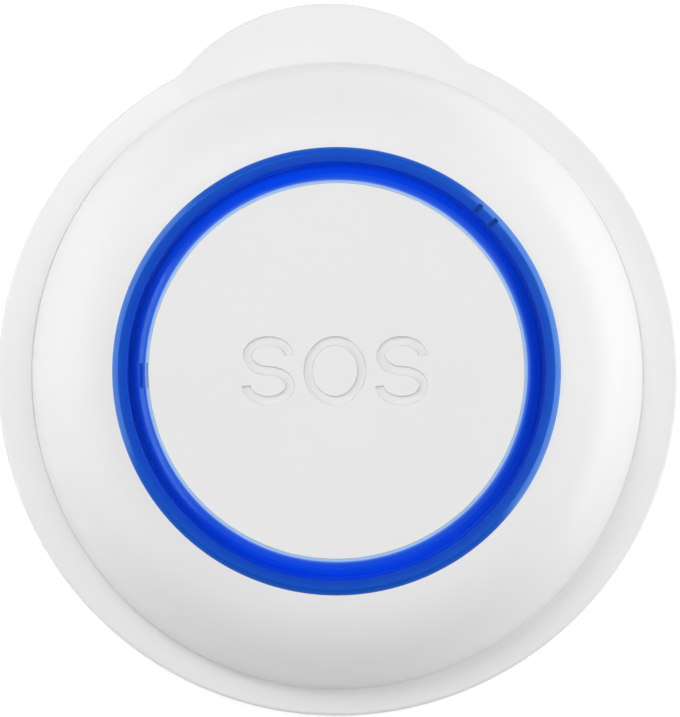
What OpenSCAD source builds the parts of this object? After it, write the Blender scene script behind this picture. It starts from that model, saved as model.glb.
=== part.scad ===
// Emergency call button: a flat round transmitter with one large press button inside a lit ring.
// The back lies flat at z = 0, the button's axis is Z and the tab points along +Y.

/* [Button] */
// Diameter of the button cap
cap_d = 35.2; // [32:0.1:40]
// Thickness of the cap's face
cap_t = 1.8; // [1.4:0.1:2.1]
// Rounding of the cap's front edge
cap_round = 0.1; // [0.1:0.05:0.6]
// Travel of the button
cap_travel = 0.5; // [0.2:0.05:0.6]
// Gap between the cap and the light ring
cap_gap = 0.2; // [0.12:0.01:0.3]
// Height of the cap's face above the ring's inner lip
cap_proud = 0.1; // [0:0.05:0.3]
// Wall of the skirt and hooks under the cap
cap_wall = 1; // [0.8:0.1:1.4]
// Number of snap hooks under the cap
hook_count = 3; // [2:1:4]
// Height of a hook's barb
barb_h = 0.8; // [0.5:0.1:1]
// Number of stiffening ribs under the cap
rib_count = 6; // [3:1:8]
// Height of a stiffening rib
rib_h = 0.6; // [0.3:0.1:0.7]
// Length of the post that presses the switch
press_len = 0.65; // [0.55:0.05:1.2]
// Diameter of the post that presses the switch
press_d = 4.4; // [3:0.1:5]

/* [Light ring] */
// Width of the light ring
ring_w = 3.2; // [2.8:0.1:4]
// Height of the ring's outer band above the dome's rim
ring_proud = 0.45; // [0.3:0.05:0.8]
// Width of the bevel round the ring's outer edge
bevel_w = 0.5; // [0.3:0.05:0.8]
// Width of the ring's outer band, bevel included
band_w = 1.6; // [1.4:0.1:2]
// Length along the radius, width and depth of the two ticks in the band
tick_size = [0.95, 0.45, 0.35];
// Distance of the ticks from the band's inner edge
tick_inset = 0.3; // [0.2:0.05:0.4]
// Width of the ring's inner lip
lip_w = 0.4; // [0.3:0.05:0.6]
// Drop from the outer band to the inner lip
lip_drop = 0.35; // [0.1:0.05:0.6]
// Depth of the groove between band and lip
groove_deep = 0.85; // [0.7:0.05:1.4]
// Width of the slope from the inner lip down to the groove
lip_slope = 0.4; // [0.2:0.05:0.45]
// Thickness of the ring's clamped flange
ring_flange_t = 1.2; // [0.8:0.1:1.6]
// Reach of the clamped flange under the dome's collar
ring_flange_w = 1; // [0.7:0.1:1.2]
// Width of the ledge that the button hooks under
ledge_w = 0.9; // [0.7:0.1:1.2]
// Thickness of the ledge that the button hooks under
ledge_t = 0.8; // [0.6:0.1:1.2]
// Number of legs that stand on the board
leg_count = 4; // [3:1:4]
// Thickness of the legs along the radius
leg_w = 1.4; // [1:0.1:1.6]
// Width of the light pipe above the lamps
pipe_w = 1.8; // [1.2:0.1:2.2]

/* [Dome] */
// Width of the dome from its opening to its foot
dome_w = 8.3; // [7.6:0.1:10]
// Radius of the dome's curve
dome_round = 9.1; // [8:0.1:12]
// Wall of the dome
dome_wall = 2; // [1.6:0.1:2.2]
// Height of the upright wall at the dome's foot
foot_wall = 1.1; // [0.6:0.1:1.6]
// Depth of the collar that the ring is clamped under
collar_h = 2.7; // [2.4:0.1:3]
// Width of the collar
collar_w = 1.8; // [1.4:0.1:2]

/* [Base] */
// Width of the flange outside the dome
flange_w = 2.85; // [2.2:0.05:4]
// Height of the flange beside the dome
flange_h = 5; // [4.6:0.1:5.8]
// Fall of the flange's front from the dome to the flange's edge
flange_fall = 0.4; // [0.1:0.05:0.6]
// Rounding of the flange's front edge
flange_round = 0.4; // [0.2:0.1:1.8]
// Rounding of the flange's back edge
back_round = 0.8; // [0.3:0.1:1]
// Diameter of the half-moon tab
tab_d = 36.8; // [32:0.2:42]
// Reach of the tab past the flange
tab_reach = 3.2; // [2.6:0.1:4]
// Diameter of the cord tunnel through the tab
tunnel_d = 2.5; // [1.6:0.1:2.8]
// Wall between the tunnel and the tab's edge
tunnel_wall = 1.15; // [0.8:0.05:1.6]
// Thickness of the floor
floor_t = 2.2; // [2:0.1:2.8]
// Depth of the dome's seat in the flange
seat_depth = 0.5; // [0.3:0.1:0.8]
// Shadow gap round the dome's foot
shadow_gap = 0.25; // [0.15:0.05:0.4]
// Wall of the spigot that centres the dome
spigot_wall = 0.9; // [0.7:0.1:1.2]
// Height of the spigot above the seat
spigot_h = 0.9; // [0.5:0.1:1.2]
// Width of the gasket
gasket_w = 0.9; // [0.6:0.1:1.1]
// Height of the gasket
gasket_h = 0.6; // [0.4:0.1:0.8]

/* [Screws] */
// Number of housing screws
screw_count = 4; // [3:1:6]
// Diameter of a screw's shank
screw_d = 1.9; // [1.6:0.1:2.2]
// Diameter of a screw's head
head_d = 3.6; // [3:0.1:4]
// Height of a screw's head
head_h = 1.3; // [1:0.1:1.5]
// Depth of a screw's head under the back
head_sink = 0.3; // [0.1:0.1:0.4]
// Length, width and depth of the cross in a screw's head
drive_size = [2.2, 0.45, 0.65];
// Diameter of the bosses in the dome
boss_d = 3.2; // [2.8:0.1:3.6]
// Diameter of the posts in the base
post_d = 4; // [3.4:0.1:4.6]

/* [Electronics] */
// Thickness of the circuit board
board_t = 1; // [0.8:0.1:1.6]
// Side of the switch
switch_w = 6; // [5:0.1:7]
// Least wall round the well in the switch
switch_wall = 0.7; // [0.5:0.1:0.9]
// Height of the switch without its plunger
switch_h = 3.7; // [3:0.1:3.8]
// Thickness of the switch's metal cover
cover_t = 0.2; // [0.15:0.05:0.3]
// Diameter of the switch's plunger
plunger_d = 3.4; // [2.6:0.1:3.6]
// Reach of the plunger above the switch's cover
plunger_reach = 0.65; // [0.62:0.01:0.8]
// Thickness of the snap dome's metal
snap_t = 0.1; // [0.06:0.01:0.1]
// Number of lamps under the light ring
led_count = 6; // [4:1:8]
// Length, width and height of a lamp
led_size = [1.6, 0.8, 0.9];
// Length, width and height of the radio chip
chip_size = [5, 5, 0.9];
// Length, width and height of the crystal
crystal_size = [3.2, 2.5, 0.8];
// Length, width and height of a capacitor
capacitor_size = [1.6, 0.8, 0.8];
// Length, width and height of a resistor
resistor_size = [1.6, 0.8, 0.45];
// Number of capacitors, and of resistors
row_count = 4; // [2:1:5]
// Radius of the antenna strip's bend
antenna_r = 12.4; // [11:0.1:13.5]
// Height of the antenna strip
antenna_h = 1.2; // [0.8:0.1:1.4]
// Thickness of the antenna strip
antenna_t = 0.4; // [0.3:0.05:0.6]
// Height of the antenna strip above the board
antenna_rise = 0.8; // [0.5:0.1:1]

/* [Battery] */
// Diameter of the coin cell
cell_d = 20; // [18:0.1:22]
// Thickness of the coin cell
cell_h = 3.2; // [2.5:0.1:3.6]
// Width of the cell's rim round its smaller terminal
terminal_rim = 1.4; // [1:0.1:2]
// Height of the smaller terminal above the cell's rim
terminal_h = 0.3; // [0.2:0.05:0.5]
// Room for the spring contact between cell and board
contact_room = 0.55; // [0.4:0.05:0.8]
// Thickness of the contacts' metal
contact_t = 0.15; // [0.1:0.01:0.18]
// Length and width of the flat contact
leaf_size = [9, 3];
// Diameter of the dimple that touches the cell
dimple_d = 2.4; // [1.6:0.1:3]
// Wall of the battery holder
holder_wall = 1.35; // [1:0.05:1.6]
// Thickness of the door's disc
door_t = 1.2; // [1.1:0.05:1.4]
// Inset of the door's pad from the cell's edge
pad_inset = 2; // [1:0.1:4]
// Wall of the ring that stands on the door
plug_wall = 1.5; // [1.2:0.1:2]
// Reach of the door's bayonet lugs
lug_reach = 1.15; // [0.8:0.05:1.5]
// Thickness of the door's bayonet lugs
lug_t = 0.9; // [0.6:0.1:1.2]
// Number of bayonet lugs
lug_count = 3; // [2:1:4]
// Turn of the door from closed to open, in degrees
door_turn = 40; // [36:1:45]
// Width of the land round the lugs that carries the seal
seal_land = 1.6; // [1.3:0.1:2]
// Thickness of the door's seal
seal_d = 0.6; // [0.5:0.05:0.7]
// Length of the coin slot
slot_len = 18; // [12:0.5:22]
// Width of the coin slot
slot_w = 2.2; // [1.6:0.1:3]
// Depth of the coin slot
slot_deep = 0.7; // [0.4:0.1:0.8]

/* [Clearances] */
// Gap between faces that rest on each other across a joint
fit_gap = 0.05; // [0.03:0.01:0.08]
// Radial gap of pieces that slide or turn in each other
run_gap = 0.06; // [0.03:0.01:0.09]
// Gap between the light ring and the dome's opening
ring_gap = 0.1; // [0.05:0.01:0.15]
// Gap round pieces that are dropped into place
drop_gap = 0.25; // [0.15:0.05:0.3]

/* [Hidden] */
$fn = 96;
// Overlap that lets a cut pass cleanly through a face
cut = 1;

// Radii from the button outwards
cap_r = cap_d / 2;
ring_bore_r = cap_r + cap_gap;
ring_r = ring_bore_r + ring_w;
opening_r = ring_r + ring_gap;
foot_r = opening_r + dome_w;
seat_r = foot_r + shadow_gap;
flange_r = seat_r + flange_w;
ring_flange_r = opening_r + ring_flange_w;
ledge_r = ring_bore_r - ledge_w;
cap_skirt_r = ledge_r - run_gap;
barb_r = cap_r - cap_gap;
led_r = ring_bore_r + ring_w / 2;
screw_r = ring_flange_r + drop_gap + boss_d / 2;
tab_r = tab_d / 2;
tab_y = flange_r + tab_reach - tab_r;
tunnel_y = flange_r + tab_reach - tunnel_wall - tunnel_d / 2;

// Radii from the coin cell outwards
cell_r = cell_d / 2;
holder_in_r = cell_r + drop_gap;
holder_r = holder_in_r + holder_wall;
plug_in_r = holder_r + 2 * drop_gap;
plug_r = plug_in_r + plug_wall;
port_r = plug_r + run_gap;
lug_r = port_r + lug_reach;
notch_r = lug_r + run_gap;
door_r = notch_r + seal_land;
recess_r = door_r + run_gap;
// The door's seal lies in the middle of its land
seal_r = (notch_r + door_r) / 2;

// Heights from the back to the front
recess_z = door_t + fit_gap;
cell_z = floor_t + fit_gap;
board_z = cell_z + cell_h + contact_room;
board_top = board_z + board_t;
switch_top = board_top + switch_h;
plunger_top = switch_top + plunger_reach;
cap_under = plunger_top + press_len;
cap_top = cap_under + cap_t;
lip_z = cap_top - cap_proud;
ring_top = lip_z + lip_drop;
rim_z = ring_top - ring_proud;
collar_z = rim_z - collar_h;
ledge_z = collar_z - ring_flange_t;
seat_z = flange_h - seat_depth;
// Height of the flange's edge and of its tab
edge_z = flange_h - flange_fall;
foot_z = seat_z + foot_wall;
spigot_top = seat_z + spigot_h;
// Seat of the screw heads
head_z = head_sink + head_h;

// The dome's curve runs through its foot and its rim
chord_r = opening_r - foot_r;
chord_z = rim_z - foot_z;
chord = norm([chord_r, chord_z]);
sagitta_arm = sqrt(dome_round * dome_round - chord * chord / 4);
dome_cr = (opening_r + foot_r) / 2 - sagitta_arm * chord_z / chord;
dome_cz = (rim_z + foot_z) / 2 + sagitta_arm * chord_r / chord;
dome_in = dome_round - dome_wall;
function dome_in_r(z) = dome_cr + sqrt(pow(dome_in, 2) - pow(max(0, z - dome_cz), 2));
function dome_out_z(r) = dome_cz + sqrt(pow(dome_round, 2) - pow(max(0, r - dome_cr), 2));

spigot_r = dome_in_r(spigot_top) - ring_gap;
pocket_r = spigot_r - spigot_wall;
board_r = min(pocket_r, dome_in_r(board_top)) - drop_gap;
// The bosses end inside the dome's wall, and their pilot holes below it
boss_skin = 0.3;
boss_top = dome_out_z(screw_r + boss_d / 2) - boss_skin;
pilot_skin = 1.2;
pilot_end = boss_top - pilot_skin;
// Diameter of the holes that a screw passes through
screw_hole_d = screw_d + drop_gap;
// Radial gap of a screw in its pilot hole and of a coin cell's contact
thread_gap = 0.02;

// The light pipe under the ring stops short of the lamps
pipe_z = board_top + led_size.z + 2 * drop_gap;
// Width of a leg of the ring, in degrees
leg_angle = 8;
// The gaps between the legs are cut from between the pipe and the legs outwards
leg_cut_r = (led_r + pipe_w / 2 + ring_flange_r - leg_w) / 2;
// Outer edge of the groove in the ring, and the run of its sloping outer side
groove_out = ring_r - band_w;
groove_slope = 0.2;
// Places of the two ticks in the ring's band, in degrees
tick_angles = [40.6, 46.1];

// Width of a hook and the place of the first, in degrees
hook_angle = 14;
hook_turn = 60;
// Lower end of the hooks
hook_z = ledge_z - fit_gap - barb_h;
// Thickness of a rib under the cap
rib_t = 0.8;
// Place of the first screw, in degrees
screw_turn = 45;
// The gasket lies under the middle of the dome's foot
gasket_mid = (dome_in_r(seat_z) + foot_r) / 2;

// Inside the switch: the plunger's shoulder rides in a well above the snap dome
well_d = switch_w - 2 * switch_wall;
shoulder_d = well_d - 4 * run_gap;
// Thickness of the plunger's shoulder
shoulder_t = 0.8;
shoulder_z = switch_top - cover_t - fit_gap - shoulder_t;
snap_h = cap_travel + snap_t;
well_z = shoulder_z - fit_gap - snap_h;
snap_edge_r = shoulder_d / 2 - run_gap;

// Places of the small components on the board
chip_at = [9.5, 6.5];
crystal_at = [9.5, -2];
capacitor_at = [-9, 3];
resistor_at = [-12, 3];
row_pitch = 2;
// Start, sweep and feet of the antenna strip, in degrees
antenna_from = 200;
antenna_sweep = 90;
antenna_foot = 6;

// The door's lugs, their notches and their stops
lug_angle = 24;
notch_angle = 30;
stop_angle = 4;
stop_play = 1;
// The pad on the door that carries the cell
pad_r = cell_r - pad_inset;
// The seal's centre lies so that it just meets the base's ledge
seal_z = recess_z - thread_gap - seal_d / 2;
// The coin cell's smaller terminal
terminal_r = cell_r - terminal_rim;
// The holder's finger gap and the curved contact, in degrees
finger_angle = 50;
positive_angle = 40;

// A rectangle of a turned profile, from the inner to the outer radius
module band(r_in, r_out, z0, z1) {
    translate([r_in, z0])
        square([r_out - r_in, z1 - z0]);
}

// A closed ring
module tube(r_in, r_out, z0, z1) {
    rotate_extrude()
        band(r_in, r_out, z0, z1);
}

// A piece of a ring, centred on an angle
module sector(r_in, r_out, z0, z1, middle, width) {
    rotate([0, 0, middle - width / 2])
        rotate_extrude(angle = width)
            band(r_in, r_out, z0, z1);
}

// A round bar along Z
module rod(r, z0, z1) {
    translate([0, 0, z0])
        cylinder(r = r, h = z1 - z0);
}

// A block that stands on the height z
module block(size, at, z) {
    translate([at.x - size.x / 2, at.y - size.y / 2, z])
        cube(size);
}

// Copies at even angles
module around(count, turn = 0) {
    for (i = [0 : count - 1])
        rotate([0, 0, turn + i * 360 / count])
            children();
}

// Copies at the screws
module at_screws() {
    around(screw_count, screw_turn)
        translate([screw_r, 0])
            children();
}

// A disc with a rounded front edge and a rounded back edge
module rounded_disc(r, h, front, back) {
    rotate_extrude() {
        band(0, r - front, min(front, back), h);
        band(0, r - back, 0, h - front);
        band(0, r, back, h - front);
        translate([r - front, h - front])
            circle(front);
        translate([r - back, back])
            circle(back);
    }
}

module base_shell() {
    difference() {
        union() {
            rounded_disc(flange_r, edge_z, flange_round, back_round);
            translate([0, 0, edge_z])
                cylinder(r1 = flange_r - flange_round, r2 = seat_r, h = flange_fall);
            translate([0, tab_y])
                rounded_disc(tab_r, edge_z, flange_round, back_round);
        }
        rod(seat_r, seat_z, flange_h + cut);
        rod(pocket_r, floor_t, flange_h + cut);
        tube(gasket_mid - gasket_w / 2 - fit_gap, gasket_mid + gasket_w / 2 + fit_gap,
            seat_z - gasket_h - fit_gap, seat_z + cut);
        rod(recess_r, -cut, recess_z);
        rod(port_r, -cut, floor_t + cut);
        around(lug_count)
            sector(plug_in_r, notch_r, -cut, floor_t + cut, -door_turn, notch_angle);
    }
}

// Two stops beside each lug end the door's turn
module door_stops() {
    half = (lug_angle + stop_angle) / 2 + stop_play;
    around(lug_count)
        for (middle = [half, -door_turn - half])
            sector(port_r + run_gap, lug_r, floor_t - fit_gap, floor_t + lug_t, middle, stop_angle);
}

module rear_base() {
    color("whitesmoke")
        difference() {
            union() {
                base_shell();
                tube(pocket_r, spigot_r, seat_z - fit_gap, spigot_top);
                intersection() {
                    at_screws()
                        rod(post_d / 2, floor_t - fit_gap, board_z);
                    rod(spigot_r, 0, board_z + cut);
                }
                door_stops();
            }
            at_screws() {
                rod(screw_hole_d / 2, -cut, board_z + cut);
                rod(head_d / 2 + drop_gap / 2, -cut, head_z);
            }
            translate([0, tunnel_y, flange_h / 2])
                rotate([0, 90, 0])
                    cylinder(d = tunnel_d, h = tab_d, center = true);
        }
}

// The dome's turned outline, without its hollow
module dome_outline() {
    intersection() {
        band(opening_r, foot_r, seat_z, rim_z + cut);
        union() {
            translate([dome_cr, dome_cz])
                circle(dome_round);
            band(opening_r, foot_r, seat_z, foot_z);
        }
    }
}

module dome_hollow() {
    difference() {
        union() {
            translate([dome_cr, dome_cz])
                circle(dome_in);
            band(0, dome_cr + dome_in, seat_z - cut, max(dome_cz, seat_z));
        }
        band(0, opening_r + collar_w, collar_z, rim_z + cut);
    }
}

module front_dome() {
    color("white")
        difference() {
            union() {
                rotate_extrude()
                    difference() {
                        dome_outline();
                        dome_hollow();
                    }
                at_screws()
                    rod(boss_d / 2, board_top, boss_top);
            }
            at_screws()
                rod(screw_d / 2 + thread_gap, board_top - cut, pilot_end);
        }
}

module housing_gasket() {
    color("dimgray")
        tube(gasket_mid - gasket_w / 2, gasket_mid + gasket_w / 2, seat_z - gasket_h, seat_z);
}

module housing_screws() {
    tip = pilot_end - drop_gap;
    drive = [drive_size.x, drive_size.y, drive_size.z + cut];
    color("silver")
        at_screws()
            difference() {
                union() {
                    rod(head_d / 2, head_sink, head_z);
                    rod(screw_d / 2, head_z - fit_gap, tip);
                }
                for (turn = [0, 90])
                    rotate([0, 0, turn])
                        block(drive, [0, 0], head_sink - cut);
            }
}

// The ring's turned profile: outer band, groove, inner lip, clamped flange, ledge and light pipe
module ring_profile() {
    groove_in = ring_bore_r + lip_w;
    groove_z = ring_top - groove_deep;
    difference() {
        union() {
            polygon([
                [ring_bore_r, ledge_z],
                [ring_r, ledge_z],
                [ring_r, rim_z],
                [ring_r - bevel_w, ring_top],
                [ring_bore_r, ring_top]
            ]);
            band(ring_bore_r, ring_flange_r, ledge_z, collar_z);
            band(ledge_r, ring_bore_r + fit_gap, ledge_z, ledge_z + ledge_t);
            band(led_r - pipe_w / 2, led_r + pipe_w / 2, pipe_z, collar_z);
            band(ring_flange_r - leg_w, ring_flange_r, board_top, collar_z);
        }
        polygon([
            [groove_in + lip_slope, groove_z],
            [groove_out - groove_slope, groove_z],
            [groove_out, ring_top],
            [groove_out, ring_top + cut],
            [ring_bore_r - fit_gap, ring_top + cut],
            [ring_bore_r - fit_gap, lip_z],
            [groove_in, lip_z]
        ]);
    }
}

module light_ring() {
    color("mediumblue")
        difference() {
            rotate_extrude()
                ring_profile();
            around(leg_count, 180 / leg_count)
                sector(leg_cut_r, ring_flange_r + cut, board_top - cut, ledge_z,
                    0, 360 / leg_count - leg_angle);
            for (angle = tick_angles)
                rotate([0, 0, angle])
                    translate([groove_out + tick_inset, -tick_size.y / 2, ring_top - tick_size.z])
                        cube([tick_size.x, tick_size.y, tick_size.z + cut]);
        }
}

module button_cap() {
    skirt_in_r = cap_skirt_r - cap_wall;
    color("white") {
        difference() {
            rotate_extrude() {
                band(0, cap_r - cap_round, cap_under, cap_top);
                band(0, cap_r, cap_under, cap_top - cap_round);
                translate([cap_r - cap_round, cap_top - cap_round])
                    circle(cap_round);
                band(skirt_in_r, cap_skirt_r, hook_z, cap_top - cap_round);
                band(skirt_in_r, barb_r, hook_z, hook_z + barb_h);
            }
            around(hook_count, hook_turn + 180 / hook_count)
                sector(skirt_in_r - cut, barb_r + cut, hook_z - cut, ledge_z,
                    0, 360 / hook_count - hook_angle);
        }
        rod(press_d / 2, plunger_top + thread_gap, cap_under + fit_gap);
        around(rib_count)
            translate([0, -rib_t / 2, cap_under - rib_h])
                cube([cap_skirt_r - cap_wall / 2, rib_t, rib_h + fit_gap]);
    }
}

module switch_body() {
    size = [switch_w, switch_w, switch_h - cover_t];
    color("#2b2b2b")
        difference() {
            block(size, [0, 0], board_top);
            rod(well_d / 2, well_z, switch_top + cut);
        }
}

module switch_cover() {
    size = [switch_w, switch_w, cover_t];
    color("silver")
        difference() {
            block(size, [0, 0], switch_top - cover_t);
            rod(plunger_d / 2 + run_gap, board_top, switch_top + cut);
        }
}

module switch_plunger() {
    color("#303030") {
        rod(plunger_d / 2, shoulder_z, plunger_top);
        rod(shoulder_d / 2, shoulder_z, shoulder_z + shoulder_t);
    }
}

// A shallow metal dome under the plunger that snaps through and brings the button back
module switch_snap_dome() {
    bend = (pow(snap_edge_r, 2) + pow(snap_h, 2)) / (2 * snap_h);
    apex = well_z + snap_h;
    color("silver")
        rotate_extrude()
            intersection() {
                band(0, snap_edge_r, well_z, apex);
                translate([0, apex - bend])
                    difference() {
                        circle(bend);
                        circle(bend - snap_t);
                    }
            }
}

module circuit_board() {
    color("darkgreen")
        difference() {
            rod(board_r, board_z, board_top);
            at_screws()
                rod(screw_hole_d / 2, board_z - cut, board_top + cut);
        }
}

module status_leds() {
    color("lightyellow")
        around(led_count, 180 / led_count)
            block(led_size, [led_r, 0], board_top);
}

module radio_chip() {
    color("#202020")
        block(chip_size, chip_at, board_top);
}

module crystal() {
    color("silver")
        block(crystal_size, crystal_at, board_top);
}

// A row of like components along Y
module component_row(size, at) {
    for (i = [0 : row_count - 1])
        block(size, [at.x, at.y + i * row_pitch], board_top);
}

module capacitors() {
    color("tan")
        component_row(capacitor_size, capacitor_at);
}

module resistors() {
    color("#181818")
        component_row(resistor_size, resistor_at);
}

// A bent strip of copper on two feet
module antenna_strip() {
    half = (antenna_sweep - antenna_foot) / 2;
    middle = antenna_from + antenna_sweep / 2;
    r_in = antenna_r - antenna_t;
    strip_z = board_top + antenna_rise;
    color("peru") {
        sector(r_in, antenna_r, strip_z, strip_z + antenna_h, middle, antenna_sweep);
        for (side = [-1, 1])
            sector(r_in, antenna_r, board_top, strip_z + fit_gap, middle + side * half, antenna_foot);
    }
}

module battery_holder() {
    color("#262626")
        difference() {
            tube(holder_in_r, holder_r, cell_z + drop_gap, board_z);
            sector(holder_in_r - cut, holder_r + cut, 0, board_z - contact_room, 90, finger_angle);
        }
}

module coin_cell() {
    color("lightgray")
        rotate_extrude() {
            band(0, cell_r, cell_z, cell_z + cell_h - terminal_h);
            band(0, terminal_r, cell_z, cell_z + cell_h);
        }
}

// A curved leaf between the cell's rim and its holder
module positive_contact() {
    color("gold")
        sector(cell_r + thread_gap, cell_r + thread_gap + contact_t, cell_z + drop_gap, board_z,
            270, positive_angle);
}

// A flat leaf under the board with a dimple that touches the cell
module negative_contact() {
    color("gold") {
        block([leaf_size.x, leaf_size.y, contact_t], [0, 0], board_z - contact_t);
        rod(dimple_d / 2, cell_z + cell_h + thread_gap, board_z - contact_t / 2);
    }
}

module battery_door() {
    lug_z = floor_t + fit_gap;
    groove = seal_d / 2 + thread_gap;
    color("white")
        difference() {
            union() {
                rod(door_r, 0, door_t);
                tube(plug_in_r, plug_r, door_t - fit_gap, lug_z + lug_t);
                rod(pad_r, door_t - fit_gap, cell_z - fit_gap);
                around(lug_count)
                    sector(plug_r - fit_gap, lug_r, lug_z, lug_z + lug_t, 0, lug_angle);
            }
            tube(seal_r - groove, seal_r + groove, seal_z - groove, door_t + cut);
            block([slot_len, slot_w, slot_deep + cut], [0, 0], -cut);
        }
}

module door_seal() {
    color("dimgray")
        rotate_extrude()
            translate([seal_r, seal_z])
                circle(d = seal_d);
}

rear_base();
front_dome();
housing_gasket();
housing_screws();
light_ring();
button_cap();
switch_body();
switch_cover();
switch_plunger();
switch_snap_dome();
circuit_board();
status_leds();
radio_chip();
crystal();
capacitors();
resistors();
antenna_strip();
battery_holder();
coin_cell();
positive_contact();
negative_contact();
battery_door();
door_seal();
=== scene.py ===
"""Looks of the emergency call button: its outer pieces as fine meshes, and a finish for every piece.

Lengths are in millimetres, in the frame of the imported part: the back lies at z = 0, the button's axis is Z
and the tab points along +Y.
"""

import math

import bmesh
import bpy
from mathutils import Matrix, Vector


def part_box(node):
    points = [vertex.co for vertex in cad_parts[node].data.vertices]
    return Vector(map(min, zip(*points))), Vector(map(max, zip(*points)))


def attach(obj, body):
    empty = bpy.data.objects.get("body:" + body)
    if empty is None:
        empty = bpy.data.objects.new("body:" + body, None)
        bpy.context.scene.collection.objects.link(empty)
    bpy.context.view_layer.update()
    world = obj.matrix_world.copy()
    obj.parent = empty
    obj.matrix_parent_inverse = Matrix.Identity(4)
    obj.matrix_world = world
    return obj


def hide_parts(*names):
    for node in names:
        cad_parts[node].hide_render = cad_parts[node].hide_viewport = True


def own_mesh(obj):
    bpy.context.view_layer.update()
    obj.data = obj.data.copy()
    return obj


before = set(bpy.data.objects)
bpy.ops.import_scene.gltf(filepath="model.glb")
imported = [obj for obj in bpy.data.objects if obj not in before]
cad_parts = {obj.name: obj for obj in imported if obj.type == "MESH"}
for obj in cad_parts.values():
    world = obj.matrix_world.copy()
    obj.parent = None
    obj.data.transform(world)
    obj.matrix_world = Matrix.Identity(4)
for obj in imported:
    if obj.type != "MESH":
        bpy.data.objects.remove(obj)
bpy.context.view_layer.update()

# Units and fineness
MM = 0.001
SEGMENTS = 192
MIN_STEPS = 5
ARC_STEPS = 6


def node_box(node):
    """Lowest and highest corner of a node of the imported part."""
    low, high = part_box(node)
    return low / MM, high / MM


cap_low, cap_high = node_box("button_cap")
ring_low, ring_high = node_box("light_ring")
dome_low, dome_high = node_box("front_dome")
_, base_high = node_box("rear_base")
_, door_high = node_box("battery_door")
board_low, board_high = node_box("circuit_board")
_, screws_high = node_box("housing_screws")
snap_low, snap_high = node_box("switch_snap_dome")

# Button cap: plate, skirt, hooks, ribs and the stub that presses the switch
CAP_R = cap_high.x
CAP_TOP = cap_high.z
CAP_T = 1.8
CAP_UNDER = CAP_TOP - CAP_T
CAP_ROUND = 0.05
SKIRT_R = 16.84
SKIRT_WALL = 1.0
SKIRT_IN_R = SKIRT_R - SKIRT_WALL
BARB_R = 17.4
BARB_H = 0.8
HOOK_COUNT = 3
HOOK_ANGLE = 14
HOOK_TURN = 60
RIB_COUNT = 6
RIB_T = 0.8
RIB_H = 0.6
PRESS_R = 2.2
PRESS_LEN = 0.63

# Lettering of the button, sunk into its face
LETTER_H = 6.5
LETTER_S_W = 5.0
LETTER_O_W = 5.9
LETTER_X = -0.15
LETTER_PITCH = 6.25
LETTER_STROKE = 0.9
LETTER_DEPTH = 0.36
LETTER_SLOPE = 0.07
LETTER_OVER = 0.1
LETTER_TURN = -2.7
LETTER_STEPS = 32
# Bowls of the S: side of its middle, share of its width, first and last angle
LETTER_S_BOWLS = ((1, 0.95, 2, 270), (-1, 1, 90, -180))

# Light ring: bevel, raised band, groove, chamfer and inner lip, from the outside in
RING_R = 21.0
RING_TOP = ring_high.z
RING_BORE_R = 17.8
BEVEL_W = 0.55
BEVEL_EDGE = 0.1
BAND_W = 1.42
BAND_EDGE = 0.05
GROOVE_OUT_R = RING_R - BAND_W
GROOVE_Z = 13.13
GROOVE_SLOPE = 0.3
GROOVE_ROUND = 0.04
CHAMFER_W = 0.42
CHAMFER_H = 0.19
LIP_W = 0.3
LIP_DROP = 0.04
LIP_GAP = 0.015
LIP_Z = CAP_TOP - LIP_DROP
LIP_EDGE_R = CAP_R + LIP_GAP
LIP_EDGE_H = 0.35
LIP_ROUND = 0.04
GROOVE_IN_R = RING_BORE_R + LIP_W
# Flange, ledge, light pipe and legs under the ring
RING_FLANGE_R = ring_high.x
RING_FLANGE_Z = 9.7
COLLAR_Z = 10.9
LEDGE_R = 16.9
LEDGE_T = 0.8
PIPE_MID_R = 19.4
PIPE_W = 1.8
PIPE_Z = 8.4
LEG_COUNT = 4
LEG_ANGLE = 8
LEG_W = 1.4
# Marks in the ring's band
TICK_ANGLES = (40.6, 46.1)
TICK_SIZE = (0.95, 0.45, 0.5)
TICK_INSET = 0.12
# Break in the ring's inner lip
BREAK_ANGLE = 178.7
BREAK_LENGTH = 2.3
BREAK_W = 0.35
BREAK_DEPTH = 0.3

# Dome
DOME_FOOT_R = dome_high.x
DOME_OPENING_R = 21.1
DOME_RIM_Z = dome_high.z
DOME_FOOT_Z = 5.6
DOME_SEAT_Z = dome_low.z
DOME_ROUND = 9.1
DOME_WALL = 2.0
COLLAR_W = 1.8
BOSS_R = 1.6
DOME_STEPS = 40
# The dome's rim closes on the ring
DOME_RIM_OVERLAP = 0.01
DOME_RIM_R = RING_R - DOME_RIM_OVERLAP
DOME_RIM_H = 0.4
# The dome's foot is a little longer along Y than along X
FOOT_OVAL = (0.9893, 1.0149)
# The foot lies a little away from the tab in its seat, so that the parting line opens towards the tab
FOOT_SHIFT = (0.01, -0.045)

# Base
FLANGE_R = base_high.x
FLANGE_H = 5.0
FLANGE_FALL = 0.4
FLANGE_ROUND = 0.4
EDGE_Z = FLANGE_H - FLANGE_FALL
BACK_ROUND = 0.8
TAB_R = 18.4
TAB_Y = base_high.y - TAB_R
TAB_BLEND = 2.5
SEAT_GAP = 0.03
SEAT_LIP = 0.07
SEAT_OVAL = (0.99, 1.014)
FLOOR_T = 2.2
SPIGOT_R = 27.1
SPIGOT_WALL = 0.9
SPIGOT_TOP = 5.4
POCKET_R = SPIGOT_R - SPIGOT_WALL
TUNNEL_R = 1.25
TUNNEL_Y = 33.3
TUNNEL_Z = FLANGE_H / 2
RECESS_R = 16.53
RECESS_Z = 1.25
PORT_R = 13.66
NOTCH_R = 14.87
NOTCH_ANGLE = 30
POST_R = 2.0

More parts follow.
